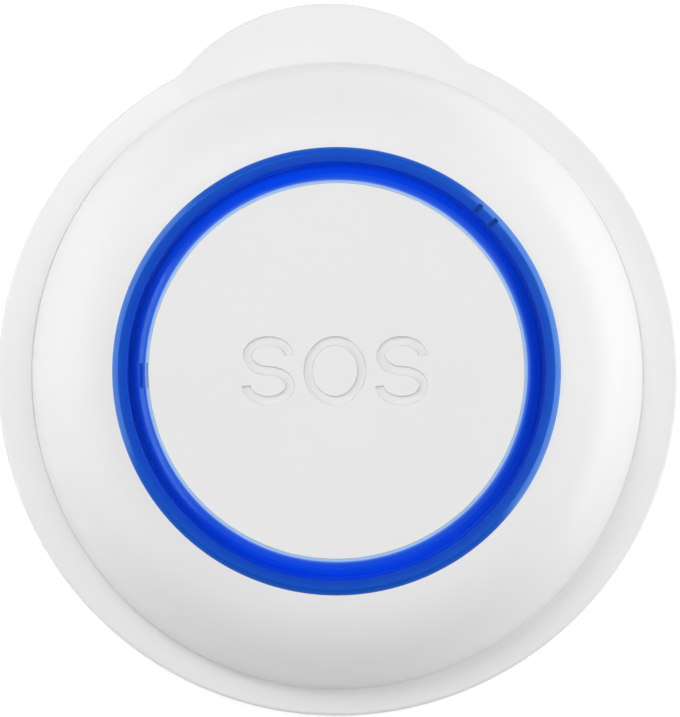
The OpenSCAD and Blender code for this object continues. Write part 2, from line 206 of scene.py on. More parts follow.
# Housing screws
SCREW_RING_R = 23.95
SCREW_COUNT = 4
SCREW_TURN = 45
SCREW_HOLE_R = 1.075
HEAD_R = 1.8
HEAD_LOW = 0.3
HEAD_Z = 1.6
HEAD_ROUND = 0.35
HEAD_PLAY = 0.125
SHANK_R = 0.95
SHANK_ROUND = 0.3
CROSS_SIZE = (2.2, 0.45, 0.65)

# Battery door
DOOR_R = door_high.x
DOOR_T = 1.2
DOOR_TURN = 40
PLUG_R = 13.6
PLUG_WALL = 1.5
PAD_R = 8.0
CELL_Z = 2.2
LUG_COUNT = 3
LUG_R = 14.81
LUG_ANGLE = 24
LUG_Z = 2.25
LUG_T = 0.9
SEAL_R = 15.67
SEAL_GROOVE = 0.32
SEAL_Z = 0.93
SLOT_SIZE = (18, 2.2, 0.7)

# Snap dome in the switch: its metal and the steps of its curves
SNAP_T = 0.1
SNAP_STEPS = 16

# Small roundings of moulded edges, and the turn of a cut's rounded mouth
EDGE = 0.15
FINE_EDGE = 0.08
MOUTH_ANGLE = 80
# Overlap that lets a cut or a joint pass cleanly through a face
CUT = 1.0
# Points nearer than this are one, in a new mesh and in a finished piece
SAME_POINT = 0.00001
WELD = 0.003
# Shading: edges sharper than this angle stay sharp, and large faces lead small ones by this weight
SHARP_ANGLE = 38
FACE_WEIGHT = 80

# The photograph: its frame, the flange's centre in it and its scale there
PHOTO_SIZE = (680, 717)
FLANGE_CENTRE_PX = (337.3, 374.9)
FLANGE_PX_PER_MM = 10.465
FLANGE_VIEW_Z = EDGE_Z - FLANGE_ROUND
# The camera's distance from the flange, its lean to the right and to the lower side, and its roll
CAMERA_DISTANCE = 450
CAMERA_LEAN_X = 0.42
CAMERA_LEAN_Y = 2.55
CAMERA_ROLL = 2.7
CAMERA_NEAR = 10
SENSOR_H = 24


def arc(centre, radius, first, last, steps=ARC_STEPS):
    """Points of an arc, with its angles in degrees."""
    points = []
    for i in range(steps + 1):
        angle = math.radians(first + (last - first) * i / steps)
        points.append((centre[0] + radius * math.cos(angle), centre[1] + radius * math.sin(angle)))
    return points


def around(count, turn=0):
    """Even angles round a full turn."""
    return [turn + i * 360 / count for i in range(count)]


def polar(radius, angle):
    """A point at a radius and an angle in degrees."""
    return (radius * math.cos(math.radians(angle)), radius * math.sin(math.radians(angle)))


def screw_places():
    """The places of the housing screws."""
    return [polar(SCREW_RING_R, angle) for angle in around(SCREW_COUNT, SCREW_TURN)]


def rounded(corners, steps=ARC_STEPS):
    """A closed outline through corners (x, y, radius), each rounded by its radius."""
    outline = []
    for i, (x, y, radius) in enumerate(corners):
        corner = Vector((x, y))
        if radius == 0:
            outline.append((x, y))
            continue
        before = (Vector(corners[i - 1][:2]) - corner).normalized()
        after = (Vector(corners[(i + 1) % len(corners)][:2]) - corner).normalized()
        half = before.angle(after) / 2
        centre = corner + (before + after).normalized() * radius / math.sin(half)
        start = corner + before * radius / math.tan(half) - centre
        end = corner + after * radius / math.tan(half) - centre
        first = math.atan2(start.y, start.x)
        turn = math.remainder(math.atan2(end.y, end.x) - first, 2 * math.pi)
        outline += arc(centre, radius, math.degrees(first), math.degrees(first + turn), steps)
    return outline


def box_outline(r_in, r_out, z_low, z_high, radius):
    """The outline of a plain turned ring."""
    corners = [(r_in, z_low), (r_out, z_low), (r_out, z_high), (r_in, z_high)]
    return rounded([(r, z, radius if r > 0 else 0) for r, z in corners])


def mouth(r, z, side, radius=EDGE):
    """Points of a cut's rounded mouth, from its wall to outside the face at z that it opens through."""
    points = []
    for i in range(ARC_STEPS + 1):
        angle = math.radians(MOUTH_ANGLE * i / ARC_STEPS)
        points.append((r + radius * (1 - math.cos(angle)), z - side * radius * (1 - math.sin(angle))))
    points.append((r + 3 * CUT, z + side * CUT / 2))
    return points


def add_object(name, bm):
    """An object from a mesh in millimetres."""
    bmesh.ops.remove_doubles(bm, verts=bm.verts, dist=SAME_POINT)
    bmesh.ops.delete(bm, geom=[edge for edge in bm.edges if not edge.link_faces], context="EDGES")
    bmesh.ops.recalc_face_normals(bm, faces=bm.faces)
    bmesh.ops.scale(bm, vec=(MM, MM, MM), verts=bm.verts)
    mesh = bpy.data.meshes.new(name)
    bm.to_mesh(mesh)
    bm.free()
    piece = bpy.data.objects.new(name, mesh)
    bpy.context.scene.collection.objects.link(piece)
    return piece


def skin(bm, rows, closed):
    """Faces between rows of points, each row a closed loop."""
    made = [[bm.verts.new(p) for p in row] for row in rows]
    pairs = list(zip(made, made[1:]))
    if closed:
        pairs.append((made[-1], made[0]))
    else:
        bm.faces.new(made[0])
        bm.faces.new(made[-1])
    for row, following in pairs:
        for i in range(len(row)):
            bm.faces.new((row[i - 1], row[i], following[i], following[i - 1]))


def turned(name, outline, first=0, sweep=360, at=(0, 0)):
    """A piece turned round Z from a closed outline of (radius, z), whole or a part of a turn."""
    whole = sweep == 360
    steps = max(MIN_STEPS, round(SEGMENTS * sweep / 360))
    rows = []
    for i in range(steps if whole else steps + 1):
        angle = math.radians(first + sweep * i / steps)
        rows.append([(at[0] + r * math.cos(angle), at[1] + r * math.sin(angle), z) for r, z in outline])
    bm = bmesh.new()
    skin(bm, rows, whole)
    return add_object(name, bm)


def sectors(name, outline, width, count, turn=0):
    """Equal parts of a turn, each as wide as an angle, evenly spread."""
    return [turned(name, outline, angle - width / 2, width) for angle in around(count, turn)]


def at_screws(name, outline):
    """The same turned piece at the place of each screw."""
    return [turned(name, outline, at=place) for place in screw_places()]


def block(name, size, low, turn=0):
    """A box of a size, from its lowest corner, turned round Z by an angle."""
    bm = bmesh.new()
    bmesh.ops.create_cube(bm, size=1)
    bmesh.ops.scale(bm, vec=size, verts=bm.verts)
    bmesh.ops.translate(bm, vec=[c + s / 2 for c, s in zip(low, size)], verts=bm.verts)
    bmesh.ops.rotate(bm, matrix=Matrix.Rotation(math.radians(turn), 3, "Z"), verts=bm.verts)
    return add_object(name, bm)


def settle(piece):
    """Replaces a piece's mesh by what its modifiers make of it."""
    graph = bpy.context.evaluated_depsgraph_get()
    made = bpy.data.meshes.new_from_object(piece.evaluated_get(graph))
    old = piece.data
    piece.modifiers.clear()
    piece.data = made
    made.name = piece.name
    bpy.data.meshes.remove(old)


def combine(piece, tools, operation):
    """Cuts tools out of a piece, or joins them to it."""
    for tool in tools:
        step = piece.modifiers.new("combine", "BOOLEAN")
        step.operation = operation
        step.solver = "EXACT"
        step.object = tool
        settle(piece)
        bpy.data.objects.remove(tool)


def smooth(piece):
    """Smooth shading that keeps flat faces flat and sharp edges sharp."""
    step = piece.modifiers.new("weld", "WELD")
    step.merge_threshold = WELD * MM
    settle(piece)
    piece.data.shade_smooth()
    piece.data.set_sharp_from_angle(angle=math.radians(SHARP_ANGLE))
    step = piece.modifiers.new("normals", "WEIGHTED_NORMAL")
    step.mode = "FACE_AREA"
    step.weight = FACE_WEIGHT
    step.keep_sharp = True
    settle(piece)


def letter_s():
    """The middle line of an S from two parts of ellipses, open at its ends."""
    half_w = (LETTER_S_W - LETTER_STROKE) / 2
    quarter_h = (LETTER_H - LETTER_STROKE) / 4
    path = []
    for side, share, first, last in LETTER_S_BOWLS:
        bowl = arc((0, side), 1, first, last, LETTER_STEPS)
        path += [Vector((half_w * share * x, quarter_h * y)) for x, y in bowl]
    del path[LETTER_STEPS]
    return path


def letter_o():
    """The middle line of an O, a closed ellipse."""
    half_w = (LETTER_O_W - LETTER_STROKE) / 2
    half_h = (LETTER_H - LETTER_STROKE) / 2
    circle = arc((0, 0), 1, 0, 360, 2 * LETTER_STEPS)[:-1]
    return [Vector((half_w * x, half_h * y)) for x, y in circle]


def stroke(name, path, closed, x):
    """A tool that sinks one letter into the button's face, with sloping walls."""
    grow = LETTER_SLOPE * LETTER_OVER / LETTER_DEPTH
    section = ((1, -grow, LETTER_OVER), (-1, -grow, LETTER_OVER),
               (-1, LETTER_SLOPE, -LETTER_DEPTH), (1, LETTER_SLOPE, -LETTER_DEPTH))
    count = len(path)
    turn = Matrix.Rotation(math.radians(LETTER_TURN), 2)
    rows = []
    for i, point in enumerate(path):
        before = path[i - 1] if closed or i > 0 else point
        after = path[(i + 1) % count] if closed or i < count - 1 else point
        along = (after - before).normalized()
        across = Vector((-along.y, along.x))
        end = 0 if closed or 0 < i < count - 1 else (-1 if i == 0 else 1)
        row = []
        for side, inset, z in section:
            place = point + across * side * (LETTER_STROKE / 2 - inset) - along * end * inset
            place = turn @ (place + Vector((x, 0)))
            row.append((place.x, place.y, CAP_TOP + z))
        rows.append(row)
    bm = bmesh.new()
    skin(bm, rows, closed)
    return add_object(name, bm)


def cap_hooks():
    """Hooks at the skirt's foot, which catch under the ring's ledge."""
    hook_in = SKIRT_IN_R + FINE_EDGE
    hook_out = SKIRT_R - FINE_EDGE
    low = cap_low.z
    hook = rounded([
        (hook_in, low, 0), (BARB_R, low, EDGE), (BARB_R, low + BARB_H, FINE_EDGE),
        (hook_out, low + BARB_H, 0), (hook_out, CAP_UNDER - CUT, 0), (hook_in, CAP_UNDER - CUT, 0),
    ])
    return sectors("hook", hook, HOOK_ANGLE, HOOK_COUNT, HOOK_TURN)


def cap_ribs():
    """Ribs under the plate, from the stub to the skirt."""
    size = (SKIRT_R - SKIRT_WALL / 2 - PRESS_R, RIB_T, RIB_H + EDGE)
    low = (PRESS_R / 2, -RIB_T / 2, CAP_UNDER - RIB_H)
    return [block("rib", size, low, angle) for angle in around(RIB_COUNT)]


def make_cap():
    """The button cap, with its lettering."""
    cap = turned("button_cap_face", rounded([
        (0, CAP_UNDER - PRESS_LEN, 0), (PRESS_R, CAP_UNDER - PRESS_LEN, EDGE), (PRESS_R, CAP_UNDER, EDGE),
        (SKIRT_IN_R, CAP_UNDER, EDGE), (SKIRT_IN_R, RING_FLANGE_Z, FINE_EDGE),
        (SKIRT_R, RING_FLANGE_Z, FINE_EDGE), (SKIRT_R, CAP_UNDER, EDGE), (CAP_R, CAP_UNDER, FINE_EDGE),
        (CAP_R, CAP_TOP, CAP_ROUND), (0, CAP_TOP, 0),
    ]))
    combine(cap, cap_hooks() + cap_ribs(), "UNION")
    combine(cap, [
        stroke("first_letter", letter_s(), False, LETTER_X - LETTER_PITCH),
        stroke("second_letter", letter_o(), True, LETTER_X),
        stroke("third_letter", letter_s(), False, LETTER_X + LETTER_PITCH),
    ], "DIFFERENCE")
    smooth(cap)
    return cap


def ring_body():
    """The ring from its flange, ledge and light pipe up to the lip, the groove and the raised band."""
    pipe_in = PIPE_MID_R - PIPE_W / 2
    pipe_out = PIPE_MID_R + PIPE_W / 2
    ledge_top = RING_FLANGE_Z + LEDGE_T
    return turned("light_ring_lens", rounded([
        (RING_R, COLLAR_Z, FINE_EDGE), (RING_FLANGE_R, COLLAR_Z, FINE_EDGE),
        (RING_FLANGE_R, RING_FLANGE_Z, FINE_EDGE), (pipe_out, RING_FLANGE_Z, FINE_EDGE),
        (pipe_out, PIPE_Z, EDGE), (pipe_in, PIPE_Z, EDGE), (pipe_in, RING_FLANGE_Z, FINE_EDGE),
        (LEDGE_R, RING_FLANGE_Z, FINE_EDGE), (LEDGE_R, ledge_top, FINE_EDGE),
        (RING_BORE_R, ledge_top, FINE_EDGE), (RING_BORE_R, LIP_Z - 2 * LIP_EDGE_H, 0),
        (LIP_EDGE_R, LIP_Z - LIP_EDGE_H, 0), (LIP_EDGE_R, LIP_Z, LIP_ROUND),
        (GROOVE_IN_R, LIP_Z, LIP_ROUND), (GROOVE_IN_R + CHAMFER_W, LIP_Z - CHAMFER_H, LIP_ROUND),
        (GROOVE_OUT_R - GROOVE_SLOPE, GROOVE_Z, GROOVE_ROUND), (GROOVE_OUT_R, RING_TOP, BAND_EDGE),
        (RING_R - BEVEL_W, RING_TOP, BEVEL_EDGE), (RING_R, DOME_RIM_Z, 0),
    ]))


def ring_ticks():
    """Tools for the two marks in the band."""
    length, width, depth = TICK_SIZE
    low = (GROOVE_OUT_R + TICK_INSET, -width / 2, RING_TOP - depth)
    return [block("tick", (length, width, depth + CUT), low, angle) for angle in TICK_ANGLES]


def lip_breaks():
    """Tools for the break, at the lip's inner and outer edge."""
    size = (BREAK_W, BREAK_LENGTH, BREAK_DEPTH + CUT)
    cuts = []
    for r in (LIP_EDGE_R - BREAK_W / 2, GROOVE_IN_R):
        cuts.append(block("lip_break", size, (r, -BREAK_LENGTH / 2, LIP_Z - BREAK_DEPTH), BREAK_ANGLE))
    return cuts


def make_ring():
    """The light ring, with its legs, the marks in its band and the break in its lip."""
    ring = ring_body()
    leg = box_outline(RING_FLANGE_R - LEG_W, RING_FLANGE_R - EDGE, ring_low.z, RING_FLANGE_Z + CUT / 2, 0)
    combine(ring, sectors("leg", leg, LEG_ANGLE, LEG_COUNT), "UNION")
    combine(ring, ring_ticks() + lip_breaks(), "DIFFERENCE")
    smooth(ring)
    return ring


def dome_curve():
    """Centre of the dome's curve, which runs through its rim and its foot."""
    rim = Vector((DOME_OPENING_R, DOME_RIM_Z))
    foot = Vector((DOME_FOOT_R, DOME_FOOT_Z))
    chord = rim - foot
    arm = math.sqrt(DOME_ROUND ** 2 - chord.length_squared / 4)
    return (rim + foot) / 2 + Vector((-chord.y, chord.x)).normalized() * arm


def dome_outline(centre):
    """The dome's section: foot, outer curve, rim, collar and the hollow behind them."""
    inner = DOME_ROUND - DOME_WALL
    collar_out = DOME_OPENING_R + COLLAR_W
    rim_angle = math.degrees(math.acos((DOME_OPENING_R - centre.x) / DOME_ROUND))
    foot_angle = math.degrees(math.asin((DOME_FOOT_Z - centre.y) / DOME_ROUND))
    collar_angle = math.degrees(math.acos((collar_out - centre.x) / inner))
    outer = arc(centre, DOME_ROUND, foot_angle, rim_angle, DOME_STEPS)[1:-1]
    hollow = arc(centre, inner, collar_angle, 0, DOME_STEPS // 2)[1:-1]
    corners = [(DOME_FOOT_R, DOME_SEAT_Z, EDGE), (DOME_FOOT_R, DOME_FOOT_Z, 0)]
    corners += [(r, z, 0) for r, z in outer]
    corners += [(DOME_RIM_R, DOME_RIM_Z, 0), (DOME_RIM_R, DOME_RIM_Z - DOME_RIM_H, 0),
                (DOME_OPENING_R, DOME_RIM_Z - 2 * DOME_RIM_H, 0), (DOME_OPENING_R, COLLAR_Z, FINE_EDGE),
                (collar_out, COLLAR_Z, FINE_EDGE)]
    corners += [(r, z, 0) for r, z in hollow]
    corners.append((centre.x + inner, DOME_SEAT_Z, 0))
    return rounded(corners)


def set_foot(dome):
    """Draws the dome out to the oval and the place of its foot, less and less towards its rim."""
    for vertex in dome.data.vertices:
        reach = math.hypot(vertex.co.x, vertex.co.y) / MM
        share = max(0, (reach - DOME_OPENING_R) / (DOME_FOOT_R - DOME_OPENING_R))
        vertex.co.x += share * ((FOOT_OVAL[0] - 1) * vertex.co.x + FOOT_SHIFT[0] * MM)
        vertex.co.y += share * ((FOOT_OVAL[1] - 1) * vertex.co.y + FOOT_SHIFT[1] * MM)


def make_dome():
    """The domed cover, with the bosses that its screws go into."""
    centre = dome_curve()
    dome = turned("front_dome_shell", dome_outline(centre))
    boss_reach = SCREW_RING_R + BOSS_R - centre.x
    boss_top = centre.y + math.sqrt(DOME_ROUND ** 2 - boss_reach ** 2) - DOME_WALL / 2
    combine(dome, at_screws("boss", box_outline(0, BOSS_R, board_high.z, boss_top, 0)), "UNION")
    pilot = box_outline(0, SHANK_R, board_high.z - CUT, screws_high.z + FINE_EDGE, 0)
    combine(dome, at_screws("pilot", pilot), "DIFFERENCE")
    set_foot(dome)
    smooth(dome)
    return dome


def base_outline(inset, z):
    """The base's outline at a height: flange and tab, blended where they meet, drawn in by an inset."""
    flange_reach = FLANGE_R + TAB_BLEND
    tab_reach = TAB_R + TAB_BLEND
    blend_y = (flange_reach ** 2 - tab_reach ** 2 + TAB_Y ** 2) / (2 * TAB_Y)
    blend_x = math.sqrt(flange_reach ** 2 - blend_y ** 2)
    flange_angle = math.degrees(math.atan2(blend_y, blend_x))
    tab_angle = math.degrees(math.atan2(blend_y - TAB_Y, blend_x))
    points = arc((0, TAB_Y), TAB_R - inset, tab_angle, 180 - tab_angle, SEGMENTS // 4)
    points += arc((-blend_x, blend_y), TAB_BLEND + inset, -tab_angle, -flange_angle)[1:-1]
    points += arc((0, 0), FLANGE_R - inset, 180 - flange_angle, 360 + flange_angle, SEGMENTS)
    points += arc((blend_x, blend_y), TAB_BLEND + inset, 180 + flange_angle, 180 + tab_angle)[1:-1]
    return [(x, y, z) for x, y in points]


def base_body():
    """Flange and tab, with a rounded back and rim, and the flange's front that falls towards its rim."""
    levels = [base_outline(BACK_ROUND - x, z) for x, z in arc((0, BACK_ROUND), BACK_ROUND, -90, 0)]
    levels += [base_outline(FLANGE_ROUND - x, EDGE_Z - FLANGE_ROUND + z)
               for x, z in arc((0, 0), FLANGE_ROUND, 0, 90, 2 * ARC_STEPS)]
    bm = bmesh.new()
    skin(bm, levels, False)
    base = add_object("rear_base_shell", bm)
    front_r = FLANGE_R - FLANGE_ROUND
    fall = FLANGE_FALL / (front_r - DOME_FOOT_R)
    front = [(0, FLANGE_H), (DOME_FOOT_R, FLANGE_H), (front_r + FINE_EDGE, EDGE_Z - fall * FINE_EDGE),
             (front_r + FINE_EDGE, EDGE_Z - FLANGE_ROUND), (0, EDGE_Z - FLANGE_ROUND)]
    combine(base, [turned("flange_front", front)], "UNION")
    return base


def base_hollows():
    """Tools for the door's recess, the port and the pocket behind the dome, and for the seat of its foot."""
    inside = [(0, -CUT / 2)] + mouth(RECESS_R, 0, -1)[::-1]
    inside += [(RECESS_R, RECESS_Z), (PORT_R, RECESS_Z), (PORT_R, FLOOR_T), (POCKET_R, FLOOR_T),
               (POCKET_R, FLANGE_H + CUT / 2), (0, FLANGE_H + CUT / 2)]
    seat_r = DOME_FOOT_R + SEAT_GAP
    seat = [(0, DOME_SEAT_Z), (seat_r, DOME_SEAT_Z)] + mouth(seat_r, FLANGE_H, 1, SEAT_LIP)
    seat_cut = turned("seat", seat + [(0, FLANGE_H + CUT / 2)])
    seat_cut.data.transform(Matrix.Diagonal((*SEAT_OVAL, 1, 1)))
    return [turned("inside", inside), seat_cut]


def base_fittings():
    """The spigot that centres the dome, and the posts under the board."""
    spigot = box_outline(POCKET_R - FINE_EDGE, SPIGOT_R, FLOOR_T - 2 * EDGE, SPIGOT_TOP, EDGE)
    post = box_outline(0, POST_R, FLOOR_T - EDGE, board_low.z, FINE_EDGE)
    return [turned("spigot", spigot)] + at_screws("post", post)


def base_holes():
    """Tools for the screw holes, the notches that let the door's lugs in, and the cord tunnel."""
    head_r = HEAD_R + HEAD_PLAY
    hole = [(0, -CUT / 2)] + mouth(head_r, 0, -1, FINE_EDGE)[::-1]
    hole += [(head_r, HEAD_Z), (SCREW_HOLE_R, HEAD_Z), (SCREW_HOLE_R, board_low.z + CUT),
             (0, board_low.z + CUT)]
    notch = box_outline(PORT_R - CUT, NOTCH_R, RECESS_Z - CUT / 2, FLOOR_T + CUT / 2, 0)
    notches = sectors("notch", notch, NOTCH_ANGLE, LUG_COUNT, -DOOR_TURN)
    tunnel = turned("tunnel", box_outline(0, TUNNEL_R, -TAB_R, TAB_R, 0))
    tunnel.data.transform(Matrix.Translation((0, TUNNEL_Y * MM, TUNNEL_Z * MM))
                          @ Matrix.Rotation(math.radians(90), 4, "Y"))
    return at_screws("screw_hole", hole) + notches + [tunnel]


def make_base():
    """The rear base, with everything that is moulded onto it or cut into it."""
    base = base_body()
    combine(base, base_hollows(), "DIFFERENCE")
    combine(base, base_fittings(), "UNION")
    combine(base, base_holes(), "DIFFERENCE")
    smooth(base)
    return base


def make_door():
    """The battery door: disc with seal groove and coin slot, plug with bayonet lugs, pad under the cell."""
    seal_in = SEAL_R - SEAL_GROOVE
    seal_out = SEAL_R + SEAL_GROOVE
    seal_low = SEAL_Z - SEAL_GROOVE
    plug_in = PLUG_R - PLUG_WALL
    plug_top = LUG_Z + LUG_T
    door = turned("battery_door_disc", rounded([
        (0, 0, 0), (DOOR_R, 0, EDGE), (DOOR_R, DOOR_T, FINE_EDGE), (seal_out, DOOR_T, 0),
        (seal_out, seal_low, 0), (seal_in, seal_low, 0), (seal_in, DOOR_T, 0), (PLUG_R, DOOR_T, FINE_EDGE),
        (PLUG_R, plug_top, FINE_EDGE), (plug_in, plug_top, FINE_EDGE), (plug_in, DOOR_T, FINE_EDGE),
        (PAD_R, DOOR_T, FINE_EDGE), (PAD_R, CELL_Z, FINE_EDGE), (0, CELL_Z, 0),
    ]))
    lug = box_outline(PLUG_R - CUT, LUG_R, LUG_Z, plug_top - FINE_EDGE, FINE_EDGE)
    combine(door, sectors("lug", lug, LUG_ANGLE, LUG_COUNT), "UNION")
    length, width, depth = SLOT_SIZE
    slot = block("slot", (length, width, depth + CUT), (-length / 2, -width / 2, -CUT))
    combine(door, [slot], "DIFFERENCE")
    smooth(door)
    return door


def make_screws():
    """The housing screws as one set, each with a cross in its head."""
    outline = rounded([
        (0, HEAD_LOW, 0), (HEAD_R, HEAD_LOW, HEAD_ROUND), (HEAD_R, HEAD_Z, FINE_EDGE),
        (SHANK_R, HEAD_Z, FINE_EDGE), (SHANK_R, screws_high.z, SHANK_ROUND), (0, screws_high.z, 0),
    ])
    length, width, depth = CROSS_SIZE
    bm = bmesh.new()
    for place in screw_places():
        screw = turned("screw", outline, at=place)
        for size in ((length, width), (width, length)):
            low = (place[0] - size[0] / 2, place[1] - size[1] / 2, HEAD_LOW - CUT)
            combine(screw, [block("cross", (*size, depth + CUT), low)], "DIFFERENCE")
        bm.from_mesh(screw.data)
        bpy.data.objects.remove(screw)
    bmesh.ops.scale(bm, vec=(1 / MM, 1 / MM, 1 / MM), verts=bm.verts)
    piece = add_object("housing_screw_set", bm)
    smooth(piece)
    return piece


def make_snap():
    """The switch's snap dome, a thin bowl of sheet metal."""
    height = snap_high.z - snap_low.z
    bend = (snap_high.x ** 2 + height ** 2) / (2 * height)
    inside = bend - SNAP_T
    centre = (0, snap_high.z - bend)
    drop = snap_low.z - centre[1]
    outline = arc(centre, bend, math.degrees(math.asin(drop / bend)), 90, SNAP_STEPS)
    outline += arc(centre, inside, 90, math.degrees(math.asin(drop / inside)), SNAP_STEPS)
    snap = turned("switch_snap_disc", outline)
    smooth(snap)
    return snap


# Noise: its detail, the values that most of it lies between, and the size of patches of colour and gloss
NOISE_DETAIL = 2
NOISE_RANGE = (0.3, 0.7)
COLOUR_PATCH = 12
GLOSS_PATCH = 3
GRAIN_DETAIL = 3

# Finishes by slot: two colours to wander between, least and most roughness, grain, relief and share of metal
FINISHES = {
    "white_shell": ((0.82, 0.82, 0.82), (0.8, 0.8, 0.8), (0.38, 0.46), 0.25, 0.004, 0),
    "white_button": ((0.82, 0.82, 0.82), (0.8, 0.8, 0.8), (0.36, 0.44), 0.25, 0.004, 0),
    "black_rubber": ((0.02, 0.02, 0.02), (0.03, 0.03, 0.03), (0.6, 0.75), 0.2, 0.01, 0),
    "screw_steel": ((0.62, 0.62, 0.63), (0.55, 0.55, 0.57), (0.22, 0.34), 0.1, 0.002, 1),
    "cell_steel": ((0.66, 0.66, 0.66), (0.6, 0.6, 0.6), (0.25, 0.36), 0.08, 0.002, 1),
    "black_plastic": ((0.02, 0.02, 0.02), (0.028, 0.028, 0.03), (0.4, 0.5), 0.15, 0.005, 0),
    "board_green": ((0.01, 0.09, 0.03), (0.015, 0.11, 0.04), (0.3, 0.4), 0.4, 0.006, 0),
    "lamp_white": ((0.8, 0.78, 0.6), (0.76, 0.74, 0.58), (0.2, 0.3), 0.2, 0.002, 0),
    "ceramic_tan": ((0.45, 0.32, 0.18), (0.4, 0.28, 0.16), (0.45, 0.55), 0.1, 0.004, 0),
    "contact_brass": ((0.75, 0.55, 0.25), (0.7, 0.5, 0.22), (0.25, 0.35), 0.08, 0.002, 1),
}

# Tint of the ring by radius, its own blue with painted light and shade: pale at its inner edge and its outer
# bevel as painted highlights, pure in the groove, deep in the crevice as painted shade
LENS_TINTS_AND_PAINTED_LIGHT = (
    (17.7, (0.42, 0.62, 0.95)),
    (17.84, (0.28, 0.48, 0.93)),
    (17.94, (0.035, 0.125, 0.78)),
    (18.2, (0.006, 0.066, 0.73)),
    (18.6, (0.002, 0.046, 0.63)),
    (19.08, (0.001, 0.042, 0.6)),
    (19.2, (0.001, 0.024, 0.42)),
    (19.32, (0.001, 0.036, 0.54)),
    (19.52, (0.001, 0.034, 0.48)),
    (19.68, (0.001, 0.052, 0.54)),
    (20.2, (0.004, 0.066, 0.54)),
    (20.6, (0.006, 0.09, 0.58)),
    (20.8, (0.014, 0.1, 0.59)),
    (21.0, (0.06, 0.15, 0.62)),
)
# Painted light: the groove and its crevice are painted brighter towards the ring's upper and lower end,
# where more light falls on them; that painted light's tint and its share by radius
LENS_PAINTED_END_LIGHT = (0.001, 0.07, 0.86)
LENS_PAINTED_END_LIGHT_SHARES = ((18.0, 0), (18.3, 1), (19.08, 1), (19.2, 0.6), (19.32, 1), (19.45, 1), (19.6, 0))
# Colour of what it mirrors, tinged by the light that comes back from inside it
LENS_SHINE = (0.45, 0.95, 1)
# Faint mottling of its colour, its polish and the size and height of its waves
LENS_MOTTLE = (0.9, 0.92, 0.94)
LENS_MOTTLE_PATCH = 8
LENS_ROUGHNESS = (0.16, 0.24)
LENS_GLOSS_PATCH = 2
LENS_WAVE = 1.5
LENS_RELIEF = 0.002
LENS_IOR = 1.5


def new_material(name):
    """A material with its shader and the piece's own coordinates."""
    material = bpy.data.materials.new(name + "_finish")
    material.use_nodes = True
    nodes = material.node_tree.nodes
    shader = next(n for n in nodes if n.type == "BSDF_PRINCIPLED")
    place = nodes.new("ShaderNodeTexCoord").outputs["Object"]
    return material, shader, place


def feed(material, socket, value):
    """Links an output to a socket, or sets the socket to a fixed value."""
    if isinstance(value, bpy.types.NodeSocket):
        material.node_tree.links.new(value, socket)
    else:
        socket.default_value = value


def calculate(material, kind, operation, *values):
    """A node that works on numbers or on vectors, each fixed or an output."""
    node = material.node_tree.nodes.new(kind)
    node.operation = operation
    for socket, value in zip(node.inputs, values):
        feed(material, socket, value)
    return node


def number(material, operation, first, second, clamped=False):
    """The sum or product of two numbers."""
    node = calculate(material, "ShaderNodeMath", operation, first, second)
    node.use_clamp = clamped
    return node.outputs["Value"]


def vector(material, operation, *values):
    """The outputs of a node that works on vectors."""
    return calculate(material, "ShaderNodeVectorMath", operation, *values).outputs


def noise(material, place, size, detail=NOISE_DETAIL):
    """Noise with features of a size in millimetres."""
    texture = material.node_tree.nodes.new("ShaderNodeTexNoise")
    texture.inputs["Scale"].default_value = 1 / (size * MM)
    texture.inputs["Detail"].default_value = detail
    feed(material, texture.inputs["Vector"], place)
    return texture.outputs["Fac"]


def spread(material, value, source, target):
    """A value carried over from one range to another."""
    node = material.node_tree.nodes.new("ShaderNodeMapRange")
    for name, limit in zip(("From Min", "From Max", "To Min", "To Max"), (*source, *target)):
        node.inputs[name].default_value = limit
    feed(material, node.inputs["Value"], value)
    return node.outputs["Result"]


def mix_colours(material, share, first, second, blend="MIX"):
    """A colour between two, each fixed or an output, by the share of the second."""
    mix = material.node_tree.nodes.new("ShaderNodeMix")
    mix.data_type = "RGBA"
    mix.blend_type = blend
    feed(material, mix.inputs["Factor"], share)
    feed(material, mix.inputs["A"], first)
    feed(material, mix.inputs["B"], second)
    return mix.outputs["Result"]


def ramp_by_radius(material, reach, stops):
    """A colour that follows the distance from the axis, through stops of a radius and a colour."""
    first = stops[0][0]
    last = stops[-1][0]
    ramp = material.node_tree.nodes.new("ShaderNodeValToRGB")
    elements = ramp.color_ramp.elements
    while len(elements) < len(stops):
        elements.new(1)
    for element, (radius, colour) in zip(elements, stops):
        element.position = (radius - first) / (last - first)
        element.color = (*colour, 1)
    feed(material, ramp.inputs["Fac"], spread(material, reach, (first * MM, last * MM), (0, 1)))
    return ramp.outputs["Color"]


def vary_roughness(material, shader, value, limits):
    """A roughness that wanders between two limits."""
    feed(material, shader.inputs["Roughness"], spread(material, value, NOISE_RANGE, limits))


def add_bump(material, shader, value, height):
    """A fine relief of a height in millimetres."""
    bump = material.node_tree.nodes.new("ShaderNodeBump")
    bump.inputs["Strength"].default_value = 1
    bump.inputs["Distance"].default_value = height * MM
    feed(material, bump.inputs["Height"], value)
    feed(material, shader.inputs["Normal"], bump.outputs["Normal"])


def finish_of(name, first, second, roughness, grain, relief, metal):
    """A moulded, rolled or painted finish: wandering colour and gloss, and a fine grain."""
    material, shader, place = new_material(name)
    shader.inputs["Metallic"].default_value = metal
    patches = noise(material, place, COLOUR_PATCH)
    feed(material, shader.inputs["Base Color"], mix_colours(material, patches, (*first, 1), (*second, 1)))
    vary_roughness(material, shader, noise(material, place, GLOSS_PATCH), roughness)
    add_bump(material, shader, noise(material, place, grain, GRAIN_DETAIL), relief)
    return material


